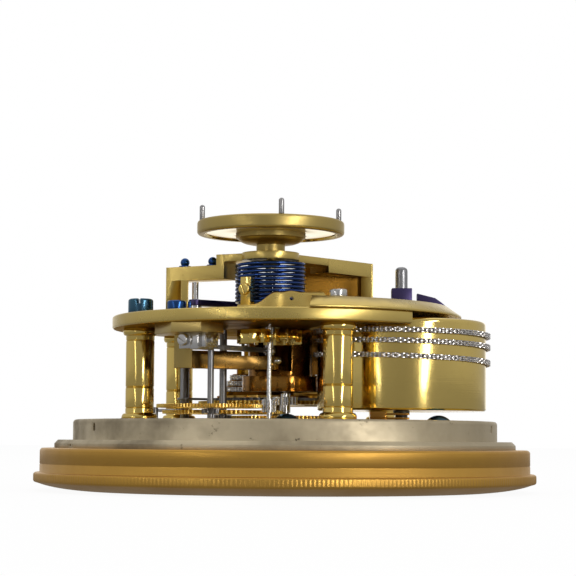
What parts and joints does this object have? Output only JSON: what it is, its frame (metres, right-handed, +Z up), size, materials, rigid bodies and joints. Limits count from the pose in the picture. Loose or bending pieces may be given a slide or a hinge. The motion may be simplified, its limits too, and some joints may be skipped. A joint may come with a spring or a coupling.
{
  "type": "marine chronometer movement",
  "caption": "Marine chronometer movement lying dial down in its bezel: plates on turned pillars, chain-wound fusee and barrel, train, escapement and sprung balance.",
  "frame": {"origin": "centre of the bezel's ground ring, on the surface it lies on, dial down", "axes": "+Z up along the dial's axis towards the balance, +Y away from the side with the escapement"},
  "size_m": [0.124, 0.124, 0.0694],
  "materials": {
    "bezel_brass": "satin",
    "brass": "polished",
    "silvered": "tarnished silvering",
    "steel": "polished",
    "dark_steel": "satin",
    "blued_steel": "heat blued",
    "glass": "clear"
  },
  "bodies": {
    "bezel": {"bezel": "bezel_brass", "glass_ring": "bezel_brass", "glass": "glass"},
    "movement": {"dial_ring": "silvered", "dial": "silvered", "pillar_plate": "brass", "pillars": "brass", "top_plate": "brass", "barrel_bridge": "brass", "pillar_screws": "blued_steel", "bridge_nuts": "steel", "plate_screws": "blued_steel", "setup_click": "blued_steel", "pawl_spring": "dark_steel", "barrel_cock": "brass", "chain_on_barrel": "dark_steel", "chain_run": "dark_steel", "chain_on_fusee": "dark_steel", "centre_pot": "brass", "potence": "brass", "potence_screws": "steel", "detent_foot": "dark_steel", "balance_spring": "blued_steel", "spring_stud": "brass", "stud_arm": "brass", "balance_bridge": "brass", "bridge_screws": "blued_steel", "lever_post": "brass"},
    "barrel": {"barrel": "brass", "barrel_cover": "brass", "mainspring": "dark_steel"},
    "barrel_arbor": {"barrel_arbor": "dark_steel", "setup_square": "blued_steel"},
    "great_wheel": {"great_wheel": "brass", "maintaining_ratchet": "dark_steel"},
    "fusee": {"fusee": "brass", "fusee_arbor": "steel"},
    "pawl": {"maintaining_pawl": "dark_steel"},
    "centre": {"centre_arbor": "steel", "centre_wheel": "brass", "cannon_pinion": "steel", "minute_hand": "blued_steel"},
    "third": {"third_arbor": "dark_steel", "third_wheel": "brass"},
    "fourth": {"fourth_arbor": "dark_steel", "fourth_wheel": "brass", "seconds_hand": "blued_steel"},
    "escape": {"escape_arbor": "steel", "escape_wheel": "brass"},
    "detent": {"detent": "dark_steel"},
    "balance": {"balance_staff": "steel", "rollers": "steel", "balance_disc": "brass", "balance_pins": "steel", "spring_collet": "brass"},
    "stop_lever": {"stop_lever": "blued_steel"},
    "minute_work": {"motion_work": "brass"},
    "hour": {"hour_wheel": "brass", "hour_hand": "blued_steel"},
    "reserve": {"reserve_wheel": "brass"}
  },
  "joints": [
    {"name": "movement_lift", "type": "slide", "parent": "bezel", "child": "movement", "axis": [0, 0, 1], "range_m": [0, 0.03]},
    {"name": "seconds_turn", "type": "hinge", "parent": "movement", "child": "fourth", "pos_m": [-0.01769, -0.02298, 0.03], "axis": [0, 0, 1], "continuous": true},
    {"name": "centre_turn", "type": "hinge", "parent": "movement", "child": "centre", "pos_m": [0, 0, 0.03], "axis": [0, 0, 1], "continuous": true},
    {"name": "third_turn", "type": "hinge", "parent": "movement", "child": "third", "pos_m": [-0.01533, -0.00695, 0.03], "axis": [0, 0, 1], "continuous": true},
    {"name": "escape_turn", "type": "hinge", "parent": "movement", "child": "escape", "pos_m": [-0.00379, -0.02495, 0.03], "axis": [0, 0, 1], "continuous": true},
    {"name": "great_turn", "type": "hinge", "parent": "movement", "child": "great_wheel", "pos_m": [-0.00273, 0.02223, 0.03], "axis": [0, 0, 1], "continuous": true},
    {"name": "fusee_wind", "type": "hinge", "parent": "great_wheel", "child": "fusee", "pos_m": [-0.00273, 0.02223, 0.03], "axis": [0, 0, 1], "range_deg": [-900, 1980], "deforming": ["chain_on_barrel", "chain_run", "chain_on_fusee"]},
    {"name": "barrel_turn", "type": "hinge", "parent": "movement", "child": "barrel", "pos_m": [0.0284, -0.009, 0.03], "axis": [0, 0, 1], "range_deg": [-640, 1400], "deforming": ["mainspring"]},
    {"name": "setup_turn", "type": "hinge", "parent": "movement", "child": "barrel_arbor", "pos_m": [0.0284, -0.009, 0.03], "axis": [0, 0, 1], "range_deg": [0, 360]},
    {"name": "maintaining_pawl_lift", "type": "hinge", "parent": "movement", "child": "pawl", "pos_m": [-0.0257, 0.01, 0.03], "axis": [0, 0, 1], "range_deg": [0, 8], "stiffness_Nm_per_rad": 0.0002},
    {"name": "balance_swing", "type": "hinge", "parent": "movement", "child": "balance", "pos_m": [-0.00379, -0.01195, 0.03], "axis": [0, 0, 1], "range_deg": [-270, 270], "stiffness_Nm_per_rad": 0.0008, "deforming": ["balance_spring"]},
    {"name": "detent_flex", "type": "hinge", "parent": "movement", "child": "detent", "pos_m": [-0.01757, -0.02873, 0.03], "axis": [0, 0, 1], "range_deg": [0, 2], "stiffness_Nm_per_rad": 0.00004},
    {"name": "stop_lever_swing", "type": "hinge", "parent": "movement", "child": "stop_lever", "pos_m": [-0.0224, -0.0065, 0.03], "axis": [0, 0, 1], "range_deg": [-12, 0]},
    {"name": "minute_work_turn", "type": "hinge", "parent": "movement", "child": "minute_work", "pos_m": [0.00689, -0.00579, 0.03], "axis": [0, 0, 1], "continuous": true},
    {"name": "hour_turn", "type": "hinge", "parent": "movement", "child": "hour", "pos_m": [0, 0, 0.03], "axis": [0, 0, 1], "continuous": true},
    {"name": "reserve_turn", "type": "hinge", "parent": "movement", "child": "reserve", "pos_m": [0.01769, 0.02298, 0.03], "axis": [0, 0, 1], "range_deg": [-225, 105]}
  ],
  "couplings": [
    {"joint": "centre_turn", "follows": "seconds_turn", "ratio": 0.016667},
    {"joint": "third_turn", "follows": "seconds_turn", "ratio": -0.125},
    {"joint": "escape_turn", "follows": "seconds_turn", "ratio": -8},
    {"joint": "great_turn", "follows": "seconds_turn", "ratio": -0.002381},
    {"joint": "minute_work_turn", "follows": "seconds_turn", "ratio": -0.0055556},
    {"joint": "hour_turn", "follows": "seconds_turn", "ratio": 0.0013889},
    {"joint": "barrel_turn", "follows": "fusee_wind", "ratio": 0.5296},
    {"joint": "reserve_turn", "follows": "fusee_wind", "ratio": -0.11111}
  ]
}
